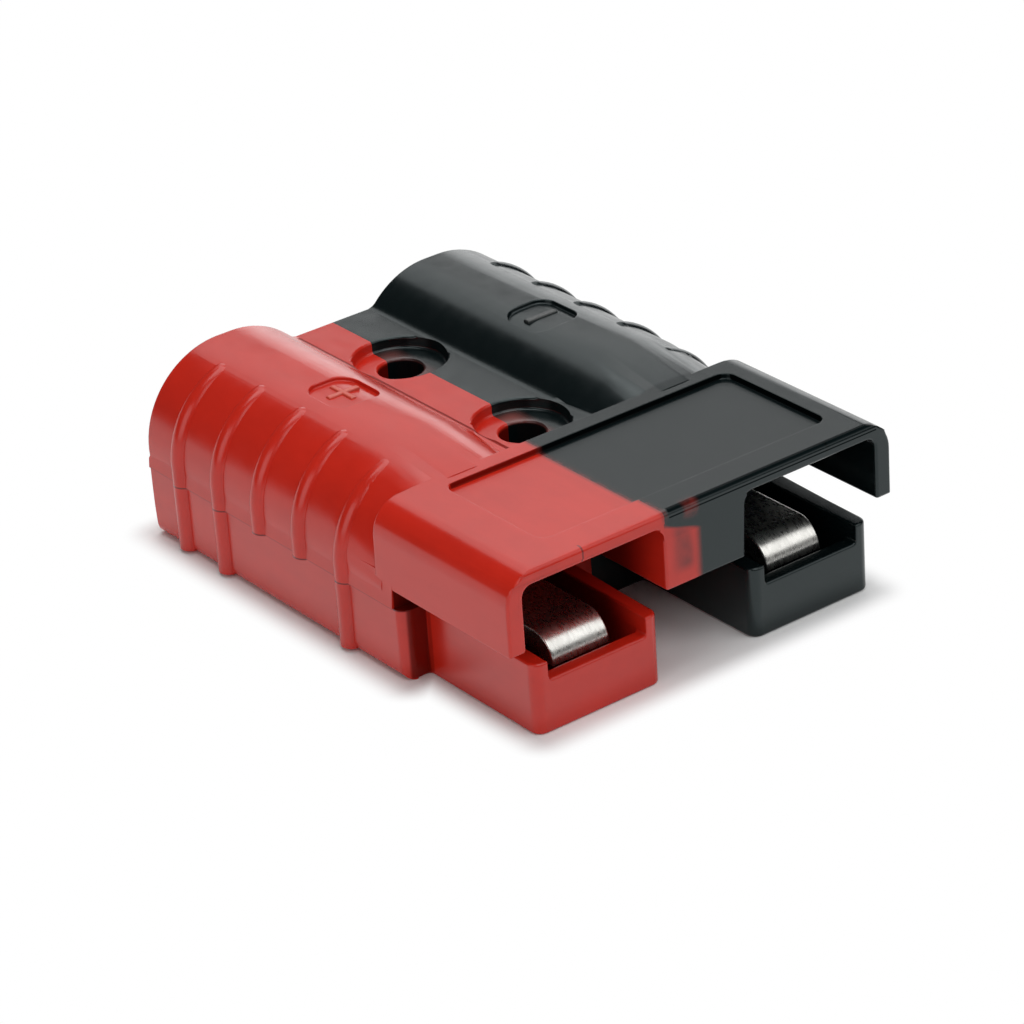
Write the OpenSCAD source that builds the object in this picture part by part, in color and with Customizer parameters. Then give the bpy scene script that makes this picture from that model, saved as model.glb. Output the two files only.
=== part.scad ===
// Two-pole genderless power connector: a two-colour housing, two plated contacts and their leaf springs.
// The mating end faces -Y, the cables leave at +Y, and the flat underside lies on z = 0.
// The positive pole is on -X and the negative pole on +X.

/* [Overall] */
// Length from the front of the hood to the cable end
length = 47.4; // [44:0.1:56]
// Distance between the middles of the two poles
pole_spacing = 20.8; // [20.6:0.05:21]

/* [Barrels] */
// Outer radius of each barrel's round top
barrel_r = 7.55; // [7.4:0.05:7.7]
// Width of the flat along each barrel's crest
crest_w = 1.3; // [1.1:0.05:1.5]
// Height of the barrels' middle line
barrel_z = 7.65; // [7.5:0.05:7.8]
// Height of the web between the barrels
web_z = 12.6; // [12.2:0.05:13]
// Radius of the hollow fillet between barrel and web
web_fillet_r = 1.5; // [1.2:0.1:1.8]
// Angle at which each barrel dips to the hood
nose_tilt = 8.4; // [7.6:0.2:9.2]
// Distance from the hood's rear edge to where the dip starts
nose_run = 7.2; // [6.8:0.1:7.6]
// Height of the mould's parting line
parting_z = 6; // [5.6:0.1:6.4]
// Step in the sides at the parting line
parting_step = 0.12; // [0.06:0.02:0.2]
// Radius of the long bottom edges
bottom_r = 1; // [0.6:0.1:1.4]
// How far the part below the parting line stands forward of the rest
low_reach = 1; // [0.6:0.1:1.2]
// Radius of that part's upright front corners
low_corner_r = 1.2; // [1:0.1:1.6]

/* [Grip ribs] */
// Number of ribs on each side
rib_count = 5; // [3:1:6]
// Distance from one rib to the next
rib_pitch = 5.5; // [5:0.1:5.8]
// Distance from the cable end to the first rib's middle
rib_inset = 4.4; // [3:0.1:6]
// Radius of a rib's round section
rib_r = 0.95; // [0.85:0.05:1.05]
// How far a rib stands proud of the side
rib_h = 0.5; // [0.4:0.05:0.6]
// Angle up the barrel's round at which a rib's round tip starts
rib_tip = 71; // [64:1:74]
// How much lower a rib stands at its tip than on the side
rib_sink = 0.3; // [0.2:0.05:0.35]
// First short rib, counted from the cable end
short_rib_first = 2; // [1:1:3]
// Last short rib
short_rib_last = 3; // [2:1:4]

/* [Hood] */
// Width of the hood
hood_w = 37; // [36.8:0.1:37.2]
// Height of the hood's flat top
hood_top = 14.1; // [13.9:0.05:14.4]
// Thickness of the hood's top plate
hood_plate = 1.3; // [1.1:0.05:1.5]
// Thickness of the hood's side walls
hood_wall = 1.5; // [1.2:0.05:1.7]
// Height of the lower edge of the hood's walls
hood_edge_z = 7.5; // [7.2:0.05:8]
// Depth of the hood from its front to the body's front face
hood_depth = 14.55; // [14:0.05:15]
// How far the hood's shoulder laps back over the body
hood_lap = 2.05; // [1.6:0.05:2.4]
// Radius of the hood's long top edges
hood_corner_r = 2.6; // [2:0.1:3]
// Radius inside the top corners of the hood's two openings
opening_corner_r = 0.9; // [0.5:0.1:1.2]
// Radius along the hood's front top edge
lip_r = 0.5; // [0.3:0.05:0.7]
// Height of the lip along that edge
lip_h = 0.9; // [0.7:0.05:1.1]
// How far the front face below the lip stands back
lip_step = 0.12; // [0.06:0.02:0.2]
// Width of the divider between the two openings
divider_w = 7.7; // [7.2:0.05:8]

/* [Label panel] */
// Depth of the sunk panel on the hood
panel_sink = 0.45; // [0.3:0.05:0.5]
// Left edge of the panel, measured from the middle
panel_left = 12.8; // [11:0.1:14]
// Right edge of the panel, measured from the middle
panel_right = 14.8; // [12:0.1:15]
// Distance from the hood's front to the panel
panel_front = 3.1; // [2:0.1:4]
// Distance from the hood's rear edge to the panel
panel_rear = 1.65; // [1.4:0.05:2.5]
// Corner radius of the panel
panel_r = 1; // [0.6:0.1:1.6]

/* [Shoes] */
// Distance from the middle to the inner side of a shoe
shoe_inner = 4.5; // [4.3:0.05:4.8]
// Distance from the middle to the outer side of a shoe
shoe_outer = 16.3; // [16:0.05:16.5]
// Height of a shoe's walls
shoe_top = 5.95; // [5.7:0.05:6.2]
// Height of the lower front wall between the posts
notch_z = 4.4; // [4.2:0.05:4.8]
// Thickness of a shoe's walls and posts
shoe_wall = 1.3; // [1.1:0.05:1.5]
// Thickness of a shoe's floor
shoe_floor = 1.4; // [1.2:0.05:1.6]
// How far the shoes stand back from the hood's front
shoe_back = 0.35; // [0:0.05:0.6]
// Radius of a shoe's upright front corners
shoe_corner_r = 0.9; // [0.6:0.1:1.2]

/* [Cable tunnels] */
// Radius of a cable entry
entry_r = 5.6; // [5.2:0.05:5.8]
// Depth of a cable entry
entry_depth = 9.7; // [8:0.1:11]
// Gap around the crimp barrel in its seat
seat_gap = 0.2; // [0.15:0.01:0.3]
// Width of the slot that the tongue passes through
slot_w = 6.4; // [6.2:0.05:7]
// Height of the top of that slot
slot_top = 7; // [6.8:0.05:7.4]

/* [Mounting holes] */
// Radius of the two mounting holes
hole_r = 1.85; // [1.6:0.05:2.1]
// Distance between the mounting holes
hole_spacing = 15.9; // [15:0.05:16.5]
// Distance from the cable end to the rear hole
hole_inset = 9.45; // [9:0.05:10]
// Radius of the spot face round each hole
spot_r = 3.85; // [3.6:0.05:4.1]
// Depth of the spot faces below the web
spot_depth = 1; // [0.6:0.05:1.2]

/* [Polarity pads] */
// Width of the sunk pad for the polarity sign
pad_w = 4.5; // [4:0.1:5]
// Length of that pad
pad_l = 5; // [4.4:0.1:5.4]
// Corner radius of the pad
pad_r = 1.4; // [1:0.1:1.8]
// Depth of the pad
pad_sink = 0.35; // [0.2:0.05:0.5]
// Distance from the cable end to the pad's middle
pad_inset = 15.7; // [15:0.1:16.4]
// Distance of the pad's middle from the barrel's middle line, towards the web
pad_offset = 0.6; // [0.2:0.1:0.8]

/* [Colour seam] */
// How far the positive half keys into the divider, measured from the divider's left side
key_w = 3.3; // [2:0.1:4.2]
// Height of the key's top
key_top = 11.7; // [10:0.1:12]

/* [Contacts] */
// Width of the tongue
tongue_w = 5.4; // [5:0.05:5.8]
// Thickness of the tongue
tongue_t = 1.6; // [1.4:0.05:1.8]
// Height of the tongue's contact face
tongue_top = 6.2; // [6:0.05:6.4]
// Outer radius of the turned-down nose
tip_r = 2.3; // [2.1:0.05:2.4]
// Distance from the shoe's front to the tip
tip_inset = 2; // [1.8:0.05:2.4]
// Outer radius of the crimp barrel
crimp_r = 4; // [3.8:0.05:4.2]
// Radius of the crimp barrel's bore
wire_r = 3; // [2.6:0.05:3.2]
// Depth of that bore
wire_depth = 12; // [10:0.1:13]
// Length of the crimp barrel
crimp_length = 15.5; // [14:0.1:16]

/* [Leaf springs] */
// Width of a leaf spring
spring_w = 4.6; // [4:0.05:5]
// Thickness of a leaf spring
spring_t = 0.5; // [0.4:0.05:0.6]
// Length of the flat that lies on the floor
spring_flat = 5; // [4:0.1:6]
// Gap between the spring and the tongue it carries
spring_gap = 0.05; // [0.03:0.01:0.1]

/* [Hidden] */
$fn = 64;
red = [0.70, 0.16, 0.12];
black = [0.12, 0.13, 0.13];
silver = [0.80, 0.80, 0.78];
steel = [0.62, 0.63, 0.64];

// Places along the connector, front to rear
rear_y = length / 2;
front_y = -length / 2;
shoe_front_y = front_y + shoe_back;
body_front_y = front_y + hood_depth;
low_front_y = body_front_y - low_reach;
hood_rear_y = body_front_y + hood_lap;
nose_y = hood_rear_y + nose_run;
panel_front_y = front_y + panel_front;
panel_rear_y = hood_rear_y - panel_rear;
barrel_front_y = hood_rear_y - panel_rear / 2;
rear_hole_y = rear_y - hole_inset;
pad_y = rear_y - pad_inset;
entry_end_y = rear_y - entry_depth;

// Places across it
pole_x = pole_spacing / 2;
hood_x = hood_w / 2;
divider_x = divider_w / 2;
inner_x = pole_x - crest_w / 2;
outer_x = pole_x + crest_w / 2;
hood_under_z = hood_top - hood_plate;

// Cutting shapes reach past the faces they cut
over = barrel_z / 8;
room = 2 * length;

// The block stands a little outside the barrel and ends just inside its round, so that the two cross
block_skin = parting_step / 2;
side_x = outer_x + barrel_r + block_skin;
low_x = side_x - parting_step;
plan_x = low_x + block_skin;
block_rise = barrel_r / 7.5;
block_top_x = outer_x + sqrt(barrel_r * barrel_r - block_rise * block_rise) - 1.4 * block_skin;

// The hollow fillet crosses the web and the barrel's round at a few degrees, by a small bite into each
fillet_bite = web_fillet_r / 75;
fillet_z = web_z + web_fillet_r - fillet_bite;
fillet_reach = barrel_r + web_fillet_r - fillet_bite;
fillet_x = inner_x - sqrt(fillet_reach * fillet_reach - pow(fillet_z - barrel_z, 2));
nose_grow = 0.4 * parting_step;

// The lip's round crosses the hood's top and front at a few degrees
lip_bite = lip_r / 25;

// A rib's path is shifted outwards from the barrel's round, so that it sinks towards its tip
rib_shift = rib_sink / (1 - cos(rib_tip));
rib_path_r = barrel_r + rib_h - rib_shift - rib_r;
rib_foot_z = bottom_r / 3;
// The ball at a rib's tip is a little larger than the rib, so that the two cross
tip_ball_r = 1.01 * rib_r;
short_foot_z = parting_z - parting_step;

// The crimp barrel's seat and the contact's places
seat_r = crimp_r + seat_gap;
crimp_end_y = entry_end_y - 2 * seat_gap;
crimp_front_y = crimp_end_y - crimp_length;
seat_front_y = crimp_front_y - seat_gap;
tip_y = shoe_front_y + tip_inset;
tongue_under = tongue_top - tongue_t;

// The spring rises along one arc from its flat to the underside of the tongue, behind the tip
spring_tip_y = tip_y + tip_r + spring_gap;
spring_rear_y = seat_front_y - seat_gap / 2;
spring_flat_y = spring_rear_y - spring_flat;
spring_run = spring_flat_y - spring_tip_y;
spring_rise = tongue_under - spring_gap - shoe_floor - spring_t;
spring_angle = 2 * atan(spring_rise / spring_run);
spring_bend_r = spring_run / sin(spring_angle);

// Lays a flat outline, drawn as x and z, along Y from y0 to y1
module along_y(y0, y1) {
    translate([0, y1, 0]) rotate([90, 0, 0]) linear_extrude(y1 - y0) children();
}

// Lays a flat outline, drawn as y and z, across X, centred on x = 0
module across_x(width) {
    rotate([90, 0, 90]) translate([0, 0, -width / 2]) linear_extrude(width) children();
}

module both_poles() {
    children();
    mirror([1, 0, 0]) children();
}

// Rounded rectangle from corner a to corner b
module round_rect(a, b, r) {
    translate([a.x + r, a.y]) square([b.x - a.x - 2 * r, b.y - a.y]);
    translate([a.x, a.y + r]) square([b.x - a.x, b.y - a.y - 2 * r]);
    for (x = [a.x + r, b.x - r], y = [a.y + r, b.y - r]) translate([x, y]) circle(r);
}

// Round top of the +X pole's barrel with the flat along its crest, its rounds moved out and up by spread
module crest_outline(r, spread = 0) {
    intersection() {
        translate([0, barrel_z + spread]) {
            for (x = [inner_x - spread, outer_x + spread]) translate([x, 0]) circle(r);
            translate([inner_x - spread, 0]) square([crest_w + 2 * spread, r]);
        }
        translate([0, barrel_z / 2]) square(room);
    }
}

// The same with the hollow fillet down to the web, all grown by grow
module barrel_outline(grow = 0) {
    crest_outline(barrel_r, grow);
    difference() {
        polygon([[fillet_x, web_z - over], [fillet_x, fillet_z], [inner_x, barrel_z]]);
        translate([fillet_x, fillet_z]) circle(web_fillet_r - grow);
    }
}

// Body below the parting line, with round long edges and round upright front corners
module low_block() {
    intersection() {
        along_y(low_front_y - over, rear_y) {
            translate([-low_x, bottom_r]) square([2 * low_x, parting_z - bottom_r]);
            translate([bottom_r - low_x, 0]) square([2 * (low_x - bottom_r), bottom_r + over]);
            for (s = [-1, 1]) translate([s * (low_x - bottom_r), bottom_r]) circle(bottom_r);
        }
        translate([0, 0, -over]) linear_extrude(room)
            round_rect([-plan_x, low_front_y], [plan_x, rear_y + 2 * low_corner_r], low_corner_r);
    }
}

// Body between the parting line and the web, leaning in to meet the barrels
module block_outline() {
    polygon([
        [-side_x, parting_z], [side_x, parting_z],
        [block_top_x, barrel_z + block_rise], [pole_x, web_z],
        [-pole_x, web_z], [-block_top_x, barrel_z + block_rise]
    ]);
}

// Barrel whose front dips to the hood: what stands above the leaned outline is cut away
module barrel() {
    difference() {
        along_y(barrel_front_y, rear_y) barrel_outline();
        difference() {
            translate([0, nose_y - room, 0]) cube(room);
            translate([0, nose_y, barrel_z]) rotate([nose_tilt, 0, 0]) translate([0, 0, -barrel_z])
                along_y(-room, room / 4) barrel_outline(nose_grow);
        }
    }
}

// Round bead that climbs the side and bends over the barrel to a round tip, lower where the barrel dips
module rib(y, foot_z) {
    bend_z = barrel_z - max(0, nose_y - y) * tan(nose_tilt);
    translate([outer_x + rib_shift, y, bend_z]) {
        intersection() {
            rotate([90, 0, 0]) rotate_extrude() translate([rib_path_r, 0]) circle(rib_r, $fn = 24);
            translate([0, -barrel_r, 0]) cube(2 * barrel_r);
            rotate([0, -rib_tip, 0]) translate([0, -barrel_r, -2 * barrel_r]) cube(2 * barrel_r);
        }
        rotate([0, -rib_tip, 0]) translate([rib_path_r, 0, 0]) sphere(tip_ball_r, $fn = 24);
        translate([rib_path_r, 0, foot_z - bend_z]) cylinder(r = rib_r, h = bend_z - foot_z, $fn = 24);
    }
}

module ribs() {
    for (i = [0 : rib_count - 1]) {
        short = i >= short_rib_first && i <= short_rib_last;
        rib(rear_y - rib_inset - i * rib_pitch, short ? short_foot_z : rib_foot_z);
    }
}

// Hood with its rounded top edges, as one bar that the two openings are cut from
module hood_outline() {
    translate([-hood_x, hood_edge_z]) square([hood_w, hood_top - hood_corner_r - hood_edge_z]);
    translate([hood_corner_r - hood_x, hood_edge_z])
        square([hood_w - 2 * hood_corner_r, hood_top - hood_edge_z]);
    for (s = [-1, 1])
        translate([s * (hood_x - hood_corner_r), hood_top - hood_corner_r]) circle(hood_corner_r);
}

// What the front face loses, drawn as y and z: the round along its top edge and the step below the lip
module lip_cut() {
    difference() {
        translate([front_y - over, hood_top - lip_r]) square(lip_r + over);
        translate([front_y + lip_r - lip_bite, hood_top - lip_r + lip_bite]) circle(lip_r);
        translate([front_y + lip_r - lip_bite, 0]) square(room);
    }
    translate([front_y - over, 0]) square([over + lip_step, hood_top - lip_h]);
}

module hood() {
    difference() {
        along_y(front_y, hood_rear_y) hood_outline();
        both_poles() along_y(front_y - over, body_front_y)
            round_rect([divider_x, 0], [hood_x - hood_wall, hood_under_z], opening_corner_r);
        across_x(2 * hood_w) lip_cut();
        translate([0, 0, hood_top - panel_sink]) linear_extrude(room)
            round_rect([-panel_left, panel_front_y], [panel_right, panel_rear_y], panel_r);
    }
}

// Open tray that carries one tongue, with a low front wall between two posts
module shoe() {
    inner = [shoe_inner + shoe_wall, shoe_front_y + shoe_wall];
    inner_w = shoe_outer - shoe_inner - 2 * shoe_wall;
    shoe_in = 2 * shoe_corner_r;
    difference() {
        linear_extrude(shoe_top)
            round_rect([shoe_inner, shoe_front_y], [shoe_outer, body_front_y + shoe_in], shoe_corner_r);
        translate([inner.x, inner.y, shoe_floor])
            cube([inner_w, low_front_y - inner.y, shoe_top]);
        translate([inner.x, shoe_front_y - over, notch_z]) cube([inner_w, shoe_wall + 2 * over, shoe_top]);
    }
}

// Space inside one pole: the cable entry, the crimp barrel's seat and the slot for tongue and spring
module tunnel() {
    translate([pole_x, rear_y + over, barrel_z]) rotate([90, 0, 0])
        cylinder(r = entry_r, h = entry_depth + over);
    translate([pole_x, entry_end_y + over, barrel_z]) rotate([90, 0, 0])
        cylinder(r = seat_r, h = entry_end_y + over - seat_front_y);
    translate([pole_x - slot_w / 2, low_front_y - over, shoe_floor])
        cube([slot_w, seat_front_y + 2 * over - low_front_y, slot_top - shoe_floor]);
}

module mounting_hole(y) {
    translate([0, y, -over]) cylinder(r = hole_r, h = room);
    translate([0, y, web_z - spot_depth]) cylinder(r = spot_r, h = room);
}

// Sunk pad for a polarity sign, its floor following the barrel's round
module polarity_pad() {
    intersection() {
        translate([pole_x - pad_offset, pad_y, barrel_z]) linear_extrude(room)
            round_rect([-pad_w / 2, -pad_l / 2], [pad_w / 2, pad_l / 2], pad_r);
        along_y(pad_y - pad_l, pad_y + pad_l) difference() {
            square(room);
            crest_outline(barrel_r - pad_sink);
        }
    }
}

// The whole housing as it leaves the mould, before it is parted into its two colours
module housing() {
    difference() {
        union() {
            low_block();
            along_y(body_front_y, rear_y) block_outline();
            both_poles() {
                barrel();
                ribs();
                shoe();
            }
            hood();
        }
        both_poles() {
            tunnel();
            polarity_pad();
        }
        for (y = [rear_hole_y, rear_hole_y - hole_spacing]) mounting_hole(y);
    }
}

// What belongs to the positive half: one side of the middle on the body, and on the hood
// one side of the divider, with a key into the divider's lower part
module positive_zone() {
    translate([-room, hood_rear_y, -room / 2]) cube(room);
    translate([-room - divider_x, -room / 2, -room / 2]) cube([room, room, room]);
    translate([key_w - room - divider_x, hood_rear_y - room, key_top - room])
        cube([room, room + over, room]);
}

module positive_housing() {
    color(red) intersection() {
        housing();
        positive_zone();
    }
}

module negative_housing() {
    color(black) difference() {
        housing();
        positive_zone();
    }
}

// Tongue with its nose turned down over the spring's end, drawn as y and z
module tongue_outline() {
    bend_y = tip_y + tip_r;
    bend_z = tongue_top - tip_r;
    translate([bend_y, tongue_under]) square([crimp_front_y + over - bend_y, tongue_t]);
    intersection() {
        translate([bend_y, bend_z]) difference() {
            circle(tip_r);
            circle(tip_r - tongue_t);
        }
        translate([bend_y - tip_r, bend_z]) square(tip_r);
    }
}

module contact() {
    difference() {
        union() {
            translate([pole_x, 0, 0]) across_x(tongue_w) tongue_outline();
            translate([pole_x, crimp_end_y, barrel_z]) rotate([90, 0, 0])
                cylinder(r = crimp_r, h = crimp_length);
        }
        translate([pole_x, crimp_end_y + over, barrel_z]) rotate([90, 0, 0])
            cylinder(r = wire_r, h = wire_depth + over);
    }
}

// Leaf spring: a flat that lies on the floor and one arc up to the tongue, drawn as y and z
module spring_outline() {
    translate([spring_flat_y, shoe_floor]) square([spring_flat, spring_t]);
    translate([spring_flat_y, shoe_floor + spring_t + spring_bend_r]) intersection() {
        difference() {
            circle(spring_bend_r + spring_t, $fn = 256);
            circle(spring_bend_r, $fn = 256);
        }
        polygon([
            [0, 0], [0, -2 * spring_bend_r],
            [-2 * spring_bend_r * tan(spring_angle), -2 * spring_bend_r]
        ]);
    }
}

module spring() {
    translate([pole_x, 0, 0]) across_x(spring_w) spring_outline();
}

module positive_contact() { color(silver) mirror([1, 0, 0]) contact(); }
module negative_contact() { color(silver) contact(); }
module positive_spring() { color(steel) mirror([1, 0, 0]) spring(); }
module negative_spring() { color(steel) spring(); }

positive_housing();
negative_housing();
positive_contact();
negative_contact();
positive_spring();
negative_spring();
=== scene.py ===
import math

import bmesh
import bpy
from bpy.props import FloatProperty, FloatVectorProperty, PointerProperty
from mathutils import Matrix, Vector


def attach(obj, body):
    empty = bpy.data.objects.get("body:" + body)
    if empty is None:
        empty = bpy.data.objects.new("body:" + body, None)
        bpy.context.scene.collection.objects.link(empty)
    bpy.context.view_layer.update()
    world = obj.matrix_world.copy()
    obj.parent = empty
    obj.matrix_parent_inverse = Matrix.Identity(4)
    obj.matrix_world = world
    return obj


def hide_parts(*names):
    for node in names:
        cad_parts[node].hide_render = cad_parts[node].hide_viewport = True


bl_info = {
    "name": "Two-pole power connector",
    "version": (1, 0, 0),
    "blender": (4, 5, 0),
    "location": "3D View > Sidebar > Connector",
    "description": "Finishes a red and black power connector around its CAD frame and sets its studio",
    "category": "Object",
}

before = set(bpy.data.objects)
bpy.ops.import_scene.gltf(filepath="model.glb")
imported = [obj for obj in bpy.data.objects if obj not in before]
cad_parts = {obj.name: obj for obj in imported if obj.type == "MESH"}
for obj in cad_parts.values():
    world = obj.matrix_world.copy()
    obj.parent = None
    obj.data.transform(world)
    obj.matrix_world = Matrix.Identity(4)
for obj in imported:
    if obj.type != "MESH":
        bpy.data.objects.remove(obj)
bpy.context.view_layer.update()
MM = 0.001

# Places on the connector, in millimetres like all places below that aren't said to be in metres

# Planes on which the two colours meet: the middle, the divider's left side and the key's faces
MIDDLE_X, DIVIDER_X, KEY_X, KEY_Z = 0.0, -3.85, -0.55, 11.7
# Height of the mould's parting line
PARTING_Z = 6.0
# Places of the two mounting holes along the middle plane, and the half widths of their bores and spot faces
SPOT_Y = (-1.65, 14.25)
BORE_HALF, SPOT_HALF = 2.2, 3.2
# Just behind the front face, behind the hood's rear edge, and past the connector on any side
FACE_Y, HOOD_REAR_Y, FAR = -23.0, -7.0, 30.0
# Half width, front and rear of the floor under the body and under the shoes
FOOTPRINTS = ((18.5, -10.4, 23.7), (16.1, -23.7, -10.4))
# How far from there the floor still shows the connector's shadow
SHADOW_REACH = 3.0

# Rounding of edges

# Points closer than this are one point
MERGE_DISTANCE = 0.002
# Faces that turn less than this are joined, and a little more on the barrels' crests, up and back from here
FLAT_TURN, CREST_TURN = math.radians(0.4), math.radians(2)
CREST_Y, CREST_Z = 0.5, 14.2
# Edges that turn more than this are rounded
SHARP_TURN = math.radians(24)
# Share of the rounding that an edge gets where the room beside it is more than so many radii
ROOM_SHARES = ((2.1, 1.0), (1.05, 0.5), (0.55, 0.25))
# Cosines from which a face is square to an axis, and up to which an edge leads away from another
SQUARE, LEADS_AWAY = 0.99, 0.85
# How near the middle of a seam's face lies to its plane
SEAM_SLACK = 0.02
# Faces that turn less than this from each other, as a cosine, are shaded as one round surface
NEAR_TURN = math.cos(math.radians(35))
# Rounding of the leaf springs' edges
LEAF_ROUND, LEAF_SEGMENTS = 0.08, 2
# Tight spots whose edges stay sharp, as ranges of the distance from the middle plane, of y and of z
TIGHT = {
    "parting step": ((17.0, 20.0), (-FAR, FAR), (PARTING_Z - 0.2, PARTING_Z + 0.2)),
    "feet of the ribs": ((17.0, 20.0), (-FAR, FAR), (0.2, 0.5)),
    "slit beside the hood": ((18.2, 19.0), (-9.4, -6.9), (7.0, 9.2)),
    "front of the lower block": ((0.0, 20.0), (-10.4, -9.9), (5.7, 6.3)),
    "corner of the lower block": ((17.0, 19.0), (-10.3, -8.8), (-0.1, 1.3)),
    "rims of the spot faces": ((3.2, 5.2), (-7.0, 19.0), (12.4, 14.0)),
    "rear edge of the hood": ((5.5, 15.6), (-8.2, -6.7), (13.3, 14.4)),
    "ends of the lip": ((15.4, 17.2), (-23.8, -22.9), (13.3, 14.2)),
    "outer ends of the lip": ((17.6, 18.1), (-23.8, -23.5), (13.0, 13.4)),
    "corner of the opening": ((3.4, 4.2), (-23.8, -23.2), (11.6, 13.4)),
    "slot of the tongue": ((7.0, 14.0), (-1.5, 5.0), (4.3, 5.1)),
}

# Zones of the paint: the width of the soft edge, and ranges of x, y, z or side, the distance from x = 0

# On both halves
# The parting line, a real seam, painted as a dark line for the shade under its small step
PARTING_LINE_AND_SHADE = dict(soft=0.06, side=(17.6, FAR), y=(-10.4, FAR), z=(PARTING_Z - 0.09, PARTING_Z + 0.03))
# Painted shade on the rear and right walls of the hood's sunk panel
GROOVE_REAR_SHADE = dict(soft=0.06, x=(-12.8, 14.9), y=(-8.86, -8.66), z=(13.60, 14.07))
GROOVE_RIGHT_SHADE = dict(soft=0.06, x=(14.70, 14.9), y=(-20, -8.7), z=(13.60, 14.07))
DIVIDER_FILM = dict(soft=1.1, x=(-2.9, -1.2), y=(-FAR, -22), z=(8.8, 14))
# On the red half
# Gate mark on the lip, a real mark, painted as a dark line for the shade beside its small bump
RED_GATE_MARK_AND_SHADE = dict(soft=0.10, x=(-11.57, -11.43), y=(-FAR, -23.1), z=(12.9, 14.3))
RED_DIVIDER_FRONT = dict(soft=0.1, x=(-3.84, 2), y=(-FAR, FACE_Y), z=(7, 13.1))
RED_SEAM = dict(soft=0.4, x=(-4.05, -3.6), y=(-FAR, HOOD_REAR_Y), z=(13.3, 15))
# Painted shade along the crease where the red barrel meets the web
CREASE_SHADE_ZONE = dict(soft=0.12, x=(-3.95, -3.62), y=(-6.5, 23), z=(12.3, 12.95))
# Painted shade deep inside the red hood and shoe
HOOD_INSIDE_SHADE = dict(soft=0.3, side=(3.7, 17.3), y=(-FAR, HOOD_REAR_Y), z=(6.6, 12.9))
SHOE_INSIDE_SHADE = dict(soft=0.3, side=(5.6, 15.4), y=(-FAR, HOOD_REAR_Y), z=(1.2, 6.2))
# Painted shade in the bores of the mounting holes
BORE_SHADE = dict(soft=0.3, x=(-BORE_HALF, 0.5), z=(0.5, 11.3))
# Painted shade on the lower block's front and in the pocket under the hood's rear corner
BLOCK_CORNER_SHADE = dict(soft=0.14, side=(16.3, 18.36), y=(-10.7, -10.0), z=(0.1, 6.4))
HOOD_POCKET_SHADE = dict(soft=0.14, side=(16.3, 18.44), y=(-10.7, -8.9), z=(5.9, 7.7))
# On the black half
# Gate mark on the lip, a real mark, painted as a dark line for the shade beside its small bump
BLACK_GATE_MARK_AND_SHADE = dict(soft=0.10, x=(11.98, 12.12), y=(-FAR, -23.1), z=(12.9, 14.3))
BLACK_DIVIDER_FRONT = dict(soft=0.1, x=(-5, 2), y=(-FAR, FACE_Y), z=(7, 13.1))
DIVIDER_SIDE = dict(soft=0.06, x=(-5, -3.82), y=(-FAR, -8), z=(10.5, 13.0))
BLEED = dict(soft=0.5, x=(-4.3, -3.6), y=(-FAR, HOOD_REAR_Y), z=(13.3, 15))
BLOT = dict(soft=0.7, x=(-1.9, -0.7), y=(-FAR, FACE_Y), z=(12.9, 14.5))
SPOT_FACE = dict(soft=1.6, x=(-1, 1.6))
SPOT_LEVEL = dict(soft=0.2, z=(11.4, 11.8))
LIP_TOP = dict(soft=0.12, x=(-3.4, 17), y=(-23.62, -23.12), z=(13.86, 14.3))
LIP_FOOT = dict(soft=0.06, x=(-3.4, 17), y=(-24, -23.4), z=(13.50, 13.62))
HOOD_TOP = dict(soft=0.4, x=(-5, 18), y=(-23.2, HOOD_REAR_Y), z=(13.4, 14.4))
# Depths at which the painted shade inside the red half starts and is full
DARK_FROM_Y, DARK_TO_Y = -22.8, -18.0
# Heights over which the red on the divider's front draws back from the key to its side, and the blur there
DRAW_BACK_Z = (11.6, 13.1)
DRAW_BACK_BLUR = (-0.6, 0.35)

# How dark or light the paint gets, as shares of a plastic's or metal's own colour
FLOW_SHADES = (0.93, 1.05)
# Painted shade on the parting line and gate marks, the panel's walls, the crease and inside the red half
LINE_SHADE = 0.25
GROOVE_SHADE = 0.35
CREASE_SHADE = 0.42
INSIDE_SHADE = 0.24
WASH_SHADE = 0.9
TARNISH_SHADE = 0.88
# How much of each paint or dullness is laid on, the corner's share being painted shade
SEAM_SHARE, CORNER_SHARE, INSIDE_DULLNESS, HOOD_TOP_DULLNESS = 0.55, 0.85, 0.9, 0.4
SPOT_SHARES = (0.75, 0.4)
# Reds where the colours have run into each other, and a red-brown tint on the black spot faces
SEAM_RED = (0.10, 0.016, 0.014, 1)
BLEED_RED = (0.17, 0.018, 0.014, 1)
SPOT_RED = (0.24, 0.065, 0.055, 1)
# Refraction of the plastic, its specular levels where glossy and dull, and the colour of the black's shine
PLASTIC_IOR = 1.5
GLOSSY, DULL = 0.5, 0.02
COOL_SHINE = (0.84, 0.97, 0.98, 1.0)
# Lowest and highest roughness of the plastic and the two metals
PLASTIC_ROUGHNESS, SILVER_ROUGHNESS, STEEL_ROUGHNESS = (0.20, 0.27), (0.24, 0.34), (0.3, 0.45)

# Polarity signs: their place along the pads, the height of their feet, their own height and their rounding
SIGN_Y, SIGN_FOOT_Z, SIGN_HEIGHT, SIGN_EDGE = 8.3, 14.4, 0.6, 0.1
# Each sign's name, material, x, half length, half thickness and whether it is crossed
SIGNS = (
    ("plus_sign", "red_plastic", -9.7, 1.45, 0.24, True),
    ("minus_sign", "black_plastic", 9.9, 1.5, 0.3, False),
)
# Cosine and sine of each quarter turn
QUARTER_TURNS = ((1, 0), (0, 1), (-1, 0), (0, -1))

# The studio floor's two whites and its roughness
PAPER_WHITES = ((0.89, 0.89, 0.89, 1), (0.91, 0.91, 0.91, 1))
PAPER_ROUGHNESS = 0.9
# Strength of the light from all round
AIR_STRENGTH = 0.05
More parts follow.
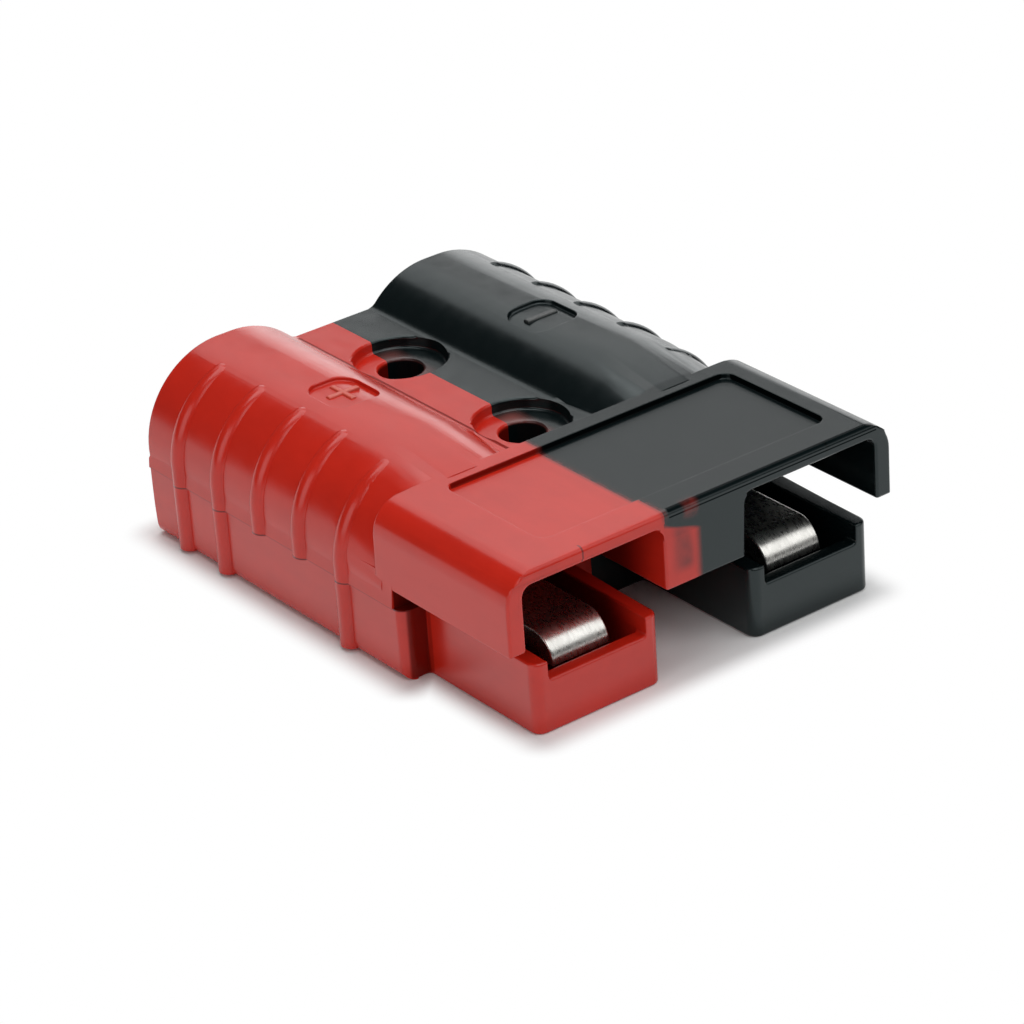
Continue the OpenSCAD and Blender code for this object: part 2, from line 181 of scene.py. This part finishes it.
# Each light's name, its place, aim and size in metres, and its radiance
LIGHTS = (
    ("overhead_box", (0.10, 0.08, 0.68), (0, 0, 0), (0.6, 0.6), 2.65),
    ("rear_box", (0.27, 0.51, 0.49), (0, 0, 0.01), (0.5, 0.36), 1.25),
    ("rear_wall", (0.66, 0.59, 0.17), (0, 0, 0.01), (0.7, 0.36), 1.7),
    ("left_box", (-0.72, -0.12, 0.30), (0, 0, 0.01), (0.6, 0.5), 1.35),
    ("front_box", (-0.12, -0.52, 0.60), (0, 0, 0.01), (0.6, 0.5), 1.7),
    ("right_card", (0.36, -0.44, 0.42), (0, -0.02, 0.01), (0.4, 0.45), 1.3),
)
# The point that the camera looks at, the width of its sensor, and its clipping in metres
LOOK_AT = (0, -1.35, 7.0)
SENSOR_WIDTH = 36.0
CLIP_START, CLIP_END = 0.01, 50
# Side of the picture, and how far the picture is shifted against the camera's line of sight, in pixels
PICTURE_SIDE, SHIFT_RIGHT, SHIFT_UP = 1024, -11.56, -29.39


class ConnectorFinish(bpy.types.PropertyGroup):
    """Colours and small sizes of the connector's finish."""

    red: FloatVectorProperty(
        name="Red plastic", description="Colour of the positive half", subtype="COLOR",
        size=4, min=0, max=1, default=(0.565, 0.020, 0.009, 1.0))
    black: FloatVectorProperty(
        name="Black plastic", description="Colour of the negative half", subtype="COLOR",
        size=4, min=0, max=1, default=(0.0022, 0.0052, 0.0058, 1.0))
    silver: FloatVectorProperty(
        name="Silver plate", description="Colour of the contacts", subtype="COLOR",
        size=4, min=0, max=1, default=(0.80, 0.79, 0.75, 1.0))
    steel: FloatVectorProperty(
        name="Spring steel", description="Colour of the leaf springs", subtype="COLOR",
        size=4, min=0, max=1, default=(0.52, 0.53, 0.54, 1.0))
    edge_round: FloatProperty(
        name="Edge rounding", description="Radius of the housing's moulded edges",
        unit="LENGTH", min=0, max=0.5 * MM, default=0.25 * MM)
    contact_round: FloatProperty(
        name="Contact edge", description="Radius of the contacts' edges",
        unit="LENGTH", min=0, max=0.5 * MM, default=0.18 * MM)


class ConnectorStudio(bpy.types.PropertyGroup):
    """Camera and floor of the studio."""

    azimuth: FloatProperty(
        name="Azimuth", description="Camera's angle round the connector", subtype="ANGLE",
        default=math.radians(-36.19))
    elevation: FloatProperty(
        name="Elevation", description="Camera's angle above the floor", subtype="ANGLE",
        default=math.radians(27.13))
    roll: FloatProperty(
        name="Roll", description="Camera's turn about its own line of sight", subtype="ANGLE",
        default=math.radians(-3.94))
    distance: FloatProperty(
        name="Distance", description="Camera's distance from the connector", unit="LENGTH",
        min=0.1, max=2, default=0.33)
    focal_length: FloatProperty(
        name="Focal length", description="Camera's focal length on a 36 mm sensor", unit="CAMERA",
        min=50, max=300, default=148.52)
    floor_size: FloatProperty(
        name="Floor size", description="Side of the floor", unit="LENGTH", min=1, max=20, default=8)


def finish():
    return bpy.context.scene.connector_finish


def studio():
    return bpy.context.scene.connector_studio


class NodeSheet:
    """A material's node tree with short calls to add and join nodes."""

    def __init__(self, name):
        self.material = bpy.data.materials.new(name)
        self.material.use_nodes = True
        self.tree = self.material.node_tree
        self.shader = self.tree.nodes["Principled BSDF"]
        self.output = self.tree.nodes["Material Output"]
        self.coords = self.add("ShaderNodeTexCoord").outputs["Object"]
        split = self.add("ShaderNodeSeparateXYZ")
        self.join(self.coords, split.inputs[0])
        self.place = dict(zip("xyz", split.outputs))
        self.place["side"] = self.math("ABSOLUTE", self.place["x"])

    def add(self, kind, **values):
        node = self.tree.nodes.new(kind)
        for key, value in values.items():
            setattr(node, key, value)
        return node

    def join(self, source, target):
        self.tree.links.new(source, target)

    def feed(self, socket, value):
        """Sets a number or colour on the shader's own socket, or joins a node's result to it."""
        if isinstance(value, (int, float, tuple)):
            self.shader.inputs[socket].default_value = value
        else:
            self.join(value, self.shader.inputs[socket])

    def noise(self, scale, detail=4.0, rough=0.55, stretch=(1, 1, 1)):
        mapping = self.add("ShaderNodeMapping")
        mapping.inputs["Scale"].default_value = stretch
        self.join(self.coords, mapping.inputs["Vector"])
        node = self.add("ShaderNodeTexNoise")
        node.inputs["Scale"].default_value = scale
        node.inputs["Detail"].default_value = detail
        node.inputs["Roughness"].default_value = rough
        self.join(mapping.outputs["Vector"], node.inputs["Vector"])
        return node.outputs["Fac"]

    def span(self, value, low, high, to_low=0.0, to_high=1.0, smooth=True):
        node = self.add("ShaderNodeMapRange", interpolation_type="SMOOTHSTEP" if smooth else "LINEAR")
        sockets = ("From Min", "From Max", "To Min", "To Max")
        for socket, number in zip(sockets, (low, high, to_low, to_high)):
            node.inputs[socket].default_value = number
        self.join(value, node.inputs["Value"])
        return node.outputs["Result"]

    def math(self, operation, a, b=0.0):
        node = self.add("ShaderNodeMath", operation=operation)
        for socket, value in zip(node.inputs, (a, b)):
            if isinstance(value, (int, float)):
                socket.default_value = value
            else:
                self.join(value, socket)
        return node.outputs[0]

    def most(self, first, *others):
        for other in others:
            first = self.math("MAXIMUM", first, other)
        return first

    def product(self, first, *others):
        for other in others:
            first = self.math("MULTIPLY", first, other)
        return first

    def mix(self, amount, a, b):
        node = self.add("ShaderNodeMix", data_type="RGBA")
        for name, value in (("Factor_Float", amount), ("A_Color", a), ("B_Color", b)):
            socket = next(s for s in node.inputs if s.identifier == name)
            if isinstance(value, (tuple, list)):
                socket.default_value = value
            else:
                self.join(value, socket)
        return next(s for s in node.outputs if s.identifier == "Result_Color")

    def bump(self, height, strength, distance):
        node = self.add("ShaderNodeBump")
        node.inputs["Strength"].default_value = strength
        node.inputs["Distance"].default_value = distance
        self.join(height, node.inputs["Height"])
        self.feed("Normal", node.outputs["Normal"])

    def band(self, value, low, high, soft):
        rise = self.span(value, low - soft / 2, low + soft / 2)
        fall = self.span(value, high - soft / 2, high + soft / 2, 1.0, 0.0)
        return self.product(rise, fall)

    def zone(self, soft, **ranges):
        """Full inside the millimetre ranges given for x, y, z or side, and gone past their soft edges."""
        return self.product(*(
            self.band(self.place[axis], low * MM, high * MM, soft * MM)
            for axis, (low, high) in ranges.items()))


def shade(colour, amount):
    return tuple(c * amount for c in colour[:3]) + (1.0,)


def moulded_plastic(name, colour, gate_mark_and_shade):
    """Glossy moulded plastic: faint flow mottling, uneven gloss, the parting line and lip mark drawn as
    painted shade, and painted shade on the panel's walls.
    """
    sheet = NodeSheet(name)
    flow = sheet.span(sheet.noise(scale=240, detail=5, rough=0.6, stretch=(1, 0.45, 1)), 0.3, 0.7)
    paint = sheet.mix(flow, *(shade(colour, amount) for amount in FLOW_SHADES))
    # The parting line and the gate mark, real marks, painted dark as the shade at their steps
    lines_and_shade = sheet.most(sheet.zone(**PARTING_LINE_AND_SHADE), sheet.zone(**gate_mark_and_shade))
    paint = sheet.mix(lines_and_shade, paint, shade(colour, LINE_SHADE))
    # painted shade on the sunk panel's walls
    groove_shade = sheet.most(sheet.zone(**GROOVE_REAR_SHADE), sheet.zone(**GROOVE_RIGHT_SHADE))
    paint = sheet.mix(groove_shade, paint, shade(colour, GROOVE_SHADE))
    gloss = sheet.noise(scale=650, detail=5, rough=0.6)
    sheet.feed("Roughness", sheet.span(gloss, 0.3, 0.75, *PLASTIC_ROUGHNESS))
    sheet.bump(sheet.noise(scale=420, detail=3, rough=0.5), strength=0.10, distance=0.05 * MM)
    sheet.feed("IOR", PLASTIC_IOR)
    return sheet, paint, groove_shade


def dull_gloss(sheet, dull):
    """Takes the gloss off where the mask is full."""
    sheet.feed("Specular IOR Level", sheet.span(dull, 0.0, 1.0, GLOSSY, DULL, smooth=False))


def divider_share(sheet):
    """How red the divider's front is: full on the left, clouded in the middle and gone right of the key."""
    z_low, z_high = (z * MM for z in DRAW_BACK_Z)
    edge = sheet.span(sheet.place["z"], z_low, z_high, KEY_X * MM, DIVIDER_X * MM)
    blur_low, blur_high = (x * MM for x in DRAW_BACK_BLUR)
    share = sheet.span(sheet.math("SUBTRACT", sheet.place["x"], edge), blur_low, blur_high, 1.0, 0.0)
    cloud = sheet.span(sheet.noise(scale=500, detail=3, rough=0.5), 0.25, 0.75, 0.3, 0.65)
    film = sheet.product(sheet.zone(**DIVIDER_FILM), cloud)
    return sheet.product(share, sheet.math("SUBTRACT", 1.0, film))


def red_plastic(red, black):
    """Red half: black showing through the key, a blurred seam, and painted shade in the crease by the
    barrel, deep inside, in the bores and under the hood's rear corner.
    """
    sheet, paint, groove_shade = moulded_plastic("red_plastic", red, RED_GATE_MARK_AND_SHADE)
    through = sheet.math("SUBTRACT", 1.0, divider_share(sheet))
    paint = sheet.mix(sheet.product(sheet.zone(**RED_DIVIDER_FRONT), through), paint, black)
    paint = sheet.mix(sheet.product(sheet.zone(**RED_SEAM), SEAM_SHARE), paint, SEAM_RED)
    # painted shade along the crease at the barrel's foot
    crease = sheet.zone(**CREASE_SHADE_ZONE)
    paint = sheet.mix(crease, paint, shade(red, CREASE_SHADE))
    # painted shade deep inside the red half, in the bores, on the block's corner and in the hood's pocket
    depth = sheet.span(sheet.place["y"], DARK_FROM_Y * MM, DARK_TO_Y * MM)
    inside = sheet.product(sheet.most(sheet.zone(**HOOD_INSIDE_SHADE), sheet.zone(**SHOE_INSIDE_SHADE)), depth)
    for y in SPOT_Y:
        inside = sheet.most(inside, sheet.zone(**BORE_SHADE, y=(y - BORE_HALF, y + BORE_HALF)))
    corner = sheet.product(sheet.zone(**BLOCK_CORNER_SHADE), CORNER_SHARE)
    inside = sheet.most(inside, sheet.zone(**HOOD_POCKET_SHADE), corner)
    paint = sheet.mix(inside, paint, shade(red, INSIDE_SHADE))
    sheet.feed("Base Color", paint)
    dull_gloss(sheet, sheet.most(groove_shade, crease, sheet.product(inside, INSIDE_DULLNESS)))
    return sheet.material


def black_plastic(black, red):
    """Black half: red bled over the seam, by the lip and round the divider, and a red-brown tint over the
    spot faces.
    """
    sheet, paint, groove_shade = moulded_plastic("black_plastic", black, BLACK_GATE_MARK_AND_SHADE)
    cloud = sheet.span(sheet.noise(scale=900, detail=3, rough=0.5), 0.25, 0.7, 0.15, 0.8)
    bled = sheet.product(sheet.most(sheet.zone(**BLEED), sheet.zone(**BLOT)), cloud)
    paint = sheet.mix(bled, paint, BLEED_RED)
    for y, share in zip(SPOT_Y, SPOT_SHARES):
        around = sheet.zone(**SPOT_FACE, y=(y - SPOT_HALF, y + SPOT_HALF))
        paint = sheet.mix(sheet.product(around, share, sheet.zone(**SPOT_LEVEL)), paint, SPOT_RED)
    wash = sheet.product(sheet.zone(**BLACK_DIVIDER_FRONT), divider_share(sheet))
    wash = sheet.most(wash, sheet.zone(**DIVIDER_SIDE))
    paint = sheet.mix(wash, paint, shade(red, WASH_SHADE))
    sheet.feed("Base Color", paint)
    top = sheet.product(sheet.zone(**HOOD_TOP), HOOD_TOP_DULLNESS)
    dull_gloss(sheet, sheet.most(groove_shade, sheet.zone(**LIP_TOP), sheet.zone(**LIP_FOOT), top))
    sheet.feed("Specular Tint", COOL_SHINE)
    return sheet.material


def plated_metal(name, colour, roughness):
    """Plated metal with a fine grain along its length and tarnish in patches."""
    sheet = NodeSheet(name)
    colour = tuple(colour)
    tarnish = sheet.span(sheet.noise(scale=500, detail=4, rough=0.6), 0.35, 0.75)
    sheet.feed("Base Color", sheet.mix(tarnish, colour, shade(colour, TARNISH_SHADE)))
    grain = sheet.noise(scale=4500, detail=3, rough=0.6, stretch=(1, 0.35, 0.35))
    sheet.feed("Roughness", sheet.span(grain, 0.3, 0.7, *roughness))
    sheet.bump(grain, strength=0.06, distance=0.004 * MM)
    sheet.feed("Metallic", 1.0)
    return sheet.material


def mesh_of(name, bm):
    mesh = bpy.data.meshes.new(name)
    bm.to_mesh(mesh)
    bm.free()
    return mesh


def fresh_object(name, mesh, material, replaced=None):
    """Makes a piece of a mesh, lets it ride on the frame and hides the node that it stands in for."""
    mesh.materials.append(material)
    piece = bpy.data.objects.new(name, mesh)
    bpy.context.scene.collection.objects.link(piece)
    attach(piece, "root")
    if replaced:
        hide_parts(replaced)


def merged_copy(node):
    """The node's own shape with its triangles joined, flat faces whole and round ones smooth."""
    bm = bmesh.new()
    bm.from_mesh(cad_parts[node].data)
    bmesh.ops.remove_doubles(bm, verts=bm.verts, dist=MERGE_DISTANCE * MM)
    bmesh.ops.dissolve_limit(bm, angle_limit=FLAT_TURN, verts=bm.verts, edges=bm.edges)
    crest = [v for v in bm.verts if v.co.z > CREST_Z * MM and v.co.y > CREST_Y * MM]
    crest_edges = list(dict.fromkeys(e for v in crest for e in v.link_edges))
    bmesh.ops.dissolve_limit(bm, angle_limit=CREST_TURN, verts=crest, edges=crest_edges)
    for face in bm.faces:
        face.smooth = True
    return bm


def on_seam(face):
    """True for a face on which the two colours meet, so its edges stay sharp."""
    centre = face.calc_center_median() / MM
    if abs(face.normal.x) > SQUARE:
        beside = abs(centre.x - DIVIDER_X) < SEAM_SLACK and centre.z > KEY_Z
        return beside or min(abs(centre.x - MIDDLE_X), abs(centre.x - KEY_X)) < SEAM_SLACK
    return abs(face.normal.z) > SQUARE and abs(centre.z - KEY_Z) < SEAM_SLACK


def in_spot(place, spot):
    values = (abs(place.x), place.y, place.z)
    return all(low < value < high for value, (low, high) in zip(values, spot))


def edge_room(edge):
    """How far the faces and the edges beside this edge reach away from it."""
    start = edge.verts[0].co
    along = (edge.verts[1].co - start).normalized()
    reach = []
    for face in edge.link_faces:
        reach.append(max((v.co - start - along * (v.co - start).dot(along)).length for v in face.verts))
    for vert in edge.verts:
        for other in vert.link_edges:
            way = other.other_vert(vert).co - vert.co
            if other is not edge and abs(way.normalized().dot(along)) < LEADS_AWAY:
                reach.append((way - along * way.dot(along)).length)
    return min(reach)


def weigh_edges(bm, width):
    """Weighs the sharp edges for rounding, less where room is short and not along the colour seam."""
    weight = bm.edges.layers.float.new("bevel_weight_edge")
    bm.normal_update()
    for edge in bm.edges:
        if not edge.is_manifold or edge.calc_face_angle(0) < SHARP_TURN:
            continue
        if any(on_seam(face) for face in edge.link_faces):
            continue
        if any(all(in_spot(v.co / MM, spot) for v in edge.verts) for spot in TIGHT.values()):
            continue
        room = edge_room(edge) / width
        edge[weight] = next((share for least, share in ROOM_SHARES if room > least), 0.0)


def even_normals(mesh):
    """Gives each corner the mean normal of the faces that turn little from its own, large ones foremost."""
    around = [[] for _ in mesh.vertices]
    for face in mesh.polygons:
        corners = [mesh.vertices[v].co for v in face.vertices]
        for i, v in enumerate(face.vertices):
            after = corners[(i + 1) % len(corners)]
            opening = (corners[i - 1] - corners[i]).angle(after - corners[i], 0)
            around[v].append((face.normal.copy(), face.area * opening))
    normals = []
    for face in mesh.polygons:
        for v in face.vertices:
            near = [normal * weight for normal, weight in around[v] if normal.dot(face.normal) > NEAR_TURN]
            normals.append(sum(near, Vector()).normalized())
    mesh.normals_split_custom_set(normals)


def rounded_node(node, width, segments=3):
    """The node's own shape with its sharp edges rounded."""
    bm = merged_copy(node)
    weigh_edges(bm, width)
    draft = bpy.data.objects.new("draft", mesh_of("draft", bm))
    bpy.context.scene.collection.objects.link(draft)
    bevel = draft.modifiers.new("edge rounding", "BEVEL")
    bevel.limit_method = "WEIGHT"
    bevel.width = width
    bevel.segments = segments
    bevel.use_clamp_overlap = False
    bevel.miter_outer = "MITER_ARC"
    mesh = bpy.data.meshes.new_from_object(draft.evaluated_get(bpy.context.evaluated_depsgraph_get()))
    bpy.data.meshes.remove(draft.data)
    even_normals(mesh)
    return mesh


class CONNECTOR_OT_housing(bpy.types.Operator):
    """Rounds the moulded edges of both housing halves and gives them their plastics"""

    bl_idname = "connector.housing"
    bl_label = "Housing halves"

    def execute(self, context):
        look = finish()
        red, black = tuple(look.red), tuple(look.black)
        halves = (
            ("red_half", "positive_housing", red_plastic(red, black), "red_plastic"),
            ("black_half", "negative_housing", black_plastic(black, red), "black_plastic"),
        )
        for name, node, material, slot in halves:
            fresh_object(name, rounded_node(node, look.edge_round), material, node)
        return {"FINISHED"}


def sign_mesh(name, x, half, thick, crossed):
    """A sign drawn as one outline, arm by arm, then raised and softened along its top."""
    arm = ((half, -thick), (half, thick))
    notch = ((thick, thick),) if crossed else ()
    turns = QUARTER_TURNS if crossed else QUARTER_TURNS[::2]
    bm = bmesh.new()
    outline = []
    for c, s in turns:
        for u, v in arm + notch:
            corner = Vector((x + c * u - s * v, SIGN_Y + s * u + c * v, SIGN_FOOT_Z))
            outline.append(bm.verts.new(corner * MM))
    foot = bm.faces.new(outline)
    raised = bmesh.ops.extrude_face_region(bm, geom=[foot])["geom"]
    top = [item for item in raised if isinstance(item, bmesh.types.BMFace)][0]
    bmesh.ops.translate(bm, vec=(0, 0, SIGN_HEIGHT * MM), verts=top.verts)
    bmesh.ops.recalc_face_normals(bm, faces=bm.faces)
    bmesh.ops.bevel(
        bm, geom=top.edges[:], offset=SIGN_EDGE * MM, offset_type="OFFSET", affect="EDGES",
        segments=2, profile=0.5, material=-1)
    return mesh_of(name, bm)


class CONNECTOR_OT_signs(bpy.types.Operator):
    """Raises the polarity signs on the sunk pads of the two barrels"""

    bl_idname = "connector.signs"
    bl_label = "Polarity signs"

    def execute(self, context):
        for name, slot, *form in SIGNS:
            fresh_object(name, sign_mesh(name, *form), bpy.data.materials[slot])
        return {"FINISHED"}


class CONNECTOR_OT_contacts(bpy.types.Operator):
    """Rounds the contacts and leaf springs and gives them their metals"""

    bl_idname = "connector.contacts"
    bl_label = "Contacts and springs"

    def execute(self, context):
        look = finish()
        silver = plated_metal("silver_plate", look.silver, SILVER_ROUGHNESS)
        steel = plated_metal("spring_steel", look.steel, STEEL_ROUGHNESS)
        for pole in ("positive", "negative"):
            contact, spring = pole + "_contact", pole + "_spring"
            tongue = rounded_node(contact, look.contact_round)
            fresh_object(pole + "_tongue", tongue, silver, contact)
            leaf = rounded_node(spring, LEAF_ROUND * MM, LEAF_SEGMENTS)
            fresh_object(pole + "_leaf", leaf, steel, spring)
        return {"FINISHED"}


def distance_from(sheet, half_width, front, rear):
    """Distance on the floor from a rectangle that the connector covers, given in millimetres."""
    aside = sheet.most(sheet.math("SUBTRACT", sheet.place["side"], half_width * MM), 0.0)
    ahead = sheet.math("SUBTRACT", front * MM, sheet.place["y"])
    behind = sheet.math("SUBTRACT", sheet.place["y"], rear * MM)
    along = sheet.most(ahead, behind, 0.0)
    squares = sheet.math("ADD", sheet.math("POWER", aside, 2.0), sheet.math("POWER", along, 2.0))
    return sheet.math("SQRT", squares)


def floor_paint():
    """White paper that takes the connector's shadow and goes over to plain white further off."""
    sheet = NodeSheet("white_paper")
    grain = sheet.span(sheet.noise(scale=180, detail=3), 0.2, 0.8)
    sheet.feed("Base Color", sheet.mix(grain, *PAPER_WHITES))
    sheet.feed("Roughness", PAPER_ROUGHNESS)
    sheet.feed("Specular IOR Level", 0.0)
    body, shoes = (distance_from(sheet, *footprint) for footprint in FOOTPRINTS)
    far = sheet.span(sheet.math("MINIMUM", body, shoes), 0.0, SHADOW_REACH * MM)
    path = sheet.add("ShaderNodeLightPath")
    seen = sheet.math("ADD", path.outputs["Is Camera Ray"], path.outputs["Is Glossy Ray"])
    seen = sheet.math("MINIMUM", sheet.math("ADD", seen, path.outputs["Is Transmission Ray"]), 1.0)
    glow = sheet.add("ShaderNodeEmission")
    glow.inputs["Strength"].default_value = 1.0
    choice = sheet.add("ShaderNodeMixShader")
    sheet.join(sheet.product(seen, far), choice.inputs[0])
    sheet.join(sheet.shader.outputs[0], choice.inputs[1])
    sheet.join(glow.outputs[0], choice.inputs[2])
    sheet.join(choice.outputs[0], sheet.output.inputs["Surface"])
    return sheet.material


def lay_floor(scene, size):
    bm = bmesh.new()
    bmesh.ops.create_grid(bm, x_segments=1, y_segments=1, size=size / 2)
    mesh = mesh_of("floor", bm)
    mesh.materials.append(floor_paint())
    floor = bpy.data.objects.new("floor", mesh)
    scene.collection.objects.link(floor)


def light_air(scene):
    world = bpy.data.worlds.new("studio_air")
    scene.world = world
    world.use_nodes = True
    air = world.node_tree.nodes["Background"]
    air.inputs["Color"].default_value = (1, 1, 1, 1)
    air.inputs["Strength"].default_value = AIR_STRENGTH


def area_light(scene, name, place, aim, size, radiance):
    light = bpy.data.lights.new(name, "AREA")
    light.shape = "RECTANGLE"
    light.size, light.size_y = size
    light.energy = radiance * math.pi * size[0] * size[1]
    lamp = bpy.data.objects.new(name, light)
    lamp.location = place
    lamp.rotation_mode = "QUATERNION"
    lamp.rotation_quaternion = (Vector(aim) - Vector(place)).to_track_quat("-Z", "Y")
    scene.collection.objects.link(lamp)


def camera_axes(azimuth, elevation, roll):
    """Right, up and back of the camera."""
    level = math.cos(elevation)
    back = Vector((math.sin(azimuth) * level, -math.cos(azimuth) * level, math.sin(elevation)))
    right = Vector((math.cos(azimuth), math.sin(azimuth), 0))
    up = back.cross(right)
    c, s = math.cos(roll), math.sin(roll)
    return c * right + s * up, c * up - s * right, back


def set_camera(scene, settings):
    right, up, back = camera_axes(settings.azimuth, settings.elevation, settings.roll)
    lens = bpy.data.cameras.new("photo_camera")
    lens.lens = settings.focal_length
    lens.sensor_width = SENSOR_WIDTH
    lens.shift_x = SHIFT_RIGHT / PICTURE_SIDE
    lens.shift_y = SHIFT_UP / PICTURE_SIDE
    lens.clip_start = CLIP_START
    lens.clip_end = CLIP_END
    camera = bpy.data.objects.new("photo_camera", lens)
    centre = Vector([part * MM for part in LOOK_AT])
    turn = Matrix((right, up, back)).transposed().to_4x4()
    camera.matrix_world = Matrix.Translation(centre + settings.distance * back) @ turn
    scene.collection.objects.link(camera)
    scene.camera = camera


class CONNECTOR_OT_studio(bpy.types.Operator):
    """Makes the white floor, the soft lights and the camera"""

    bl_idname = "connector.studio"
    bl_label = "Studio"

    def execute(self, context):
        scene = context.scene
        settings = studio()
        scene.view_settings.view_transform = "Standard"
        lay_floor(scene, settings.floor_size)
        light_air(scene)
        for light in LIGHTS:
            area_light(scene, *light)
        set_camera(scene, settings)
        return {"FINISHED"}


class CONNECTOR_PT_sidebar(bpy.types.Panel):
    """Lists the connector's pieces and its studio"""

    bl_label = "Connector"
    bl_idname = "CONNECTOR_PT_sidebar"
    bl_space_type = "VIEW_3D"
    bl_region_type = "UI"
    bl_category = "Connector"

    def draw(self, context):
        column = self.layout.column()
        for operator in OPERATORS:
            column.operator(operator.bl_idname)
        for group in (finish(), studio()):
            for name in group.bl_rna.properties.keys():
                if name not in ("rna_type", "name"):
                    column.prop(group, name)


OPERATORS = (CONNECTOR_OT_housing, CONNECTOR_OT_signs, CONNECTOR_OT_contacts, CONNECTOR_OT_studio)
CLASSES = (ConnectorFinish, ConnectorStudio, *OPERATORS, CONNECTOR_PT_sidebar)


def register():
    for item in CLASSES:
        bpy.utils.register_class(item)
    bpy.types.Scene.connector_finish = PointerProperty(type=ConnectorFinish)
    bpy.types.Scene.connector_studio = PointerProperty(type=ConnectorStudio)


def unregister():
    del bpy.types.Scene.connector_studio
    del bpy.types.Scene.connector_finish
    for item in reversed(CLASSES):
        bpy.utils.unregister_class(item)


def main():
    register()
    bpy.ops.connector.studio()
    bpy.ops.connector.housing()
    bpy.ops.connector.signs()
    bpy.ops.connector.contacts()


if __name__ == "__main__":
    main()
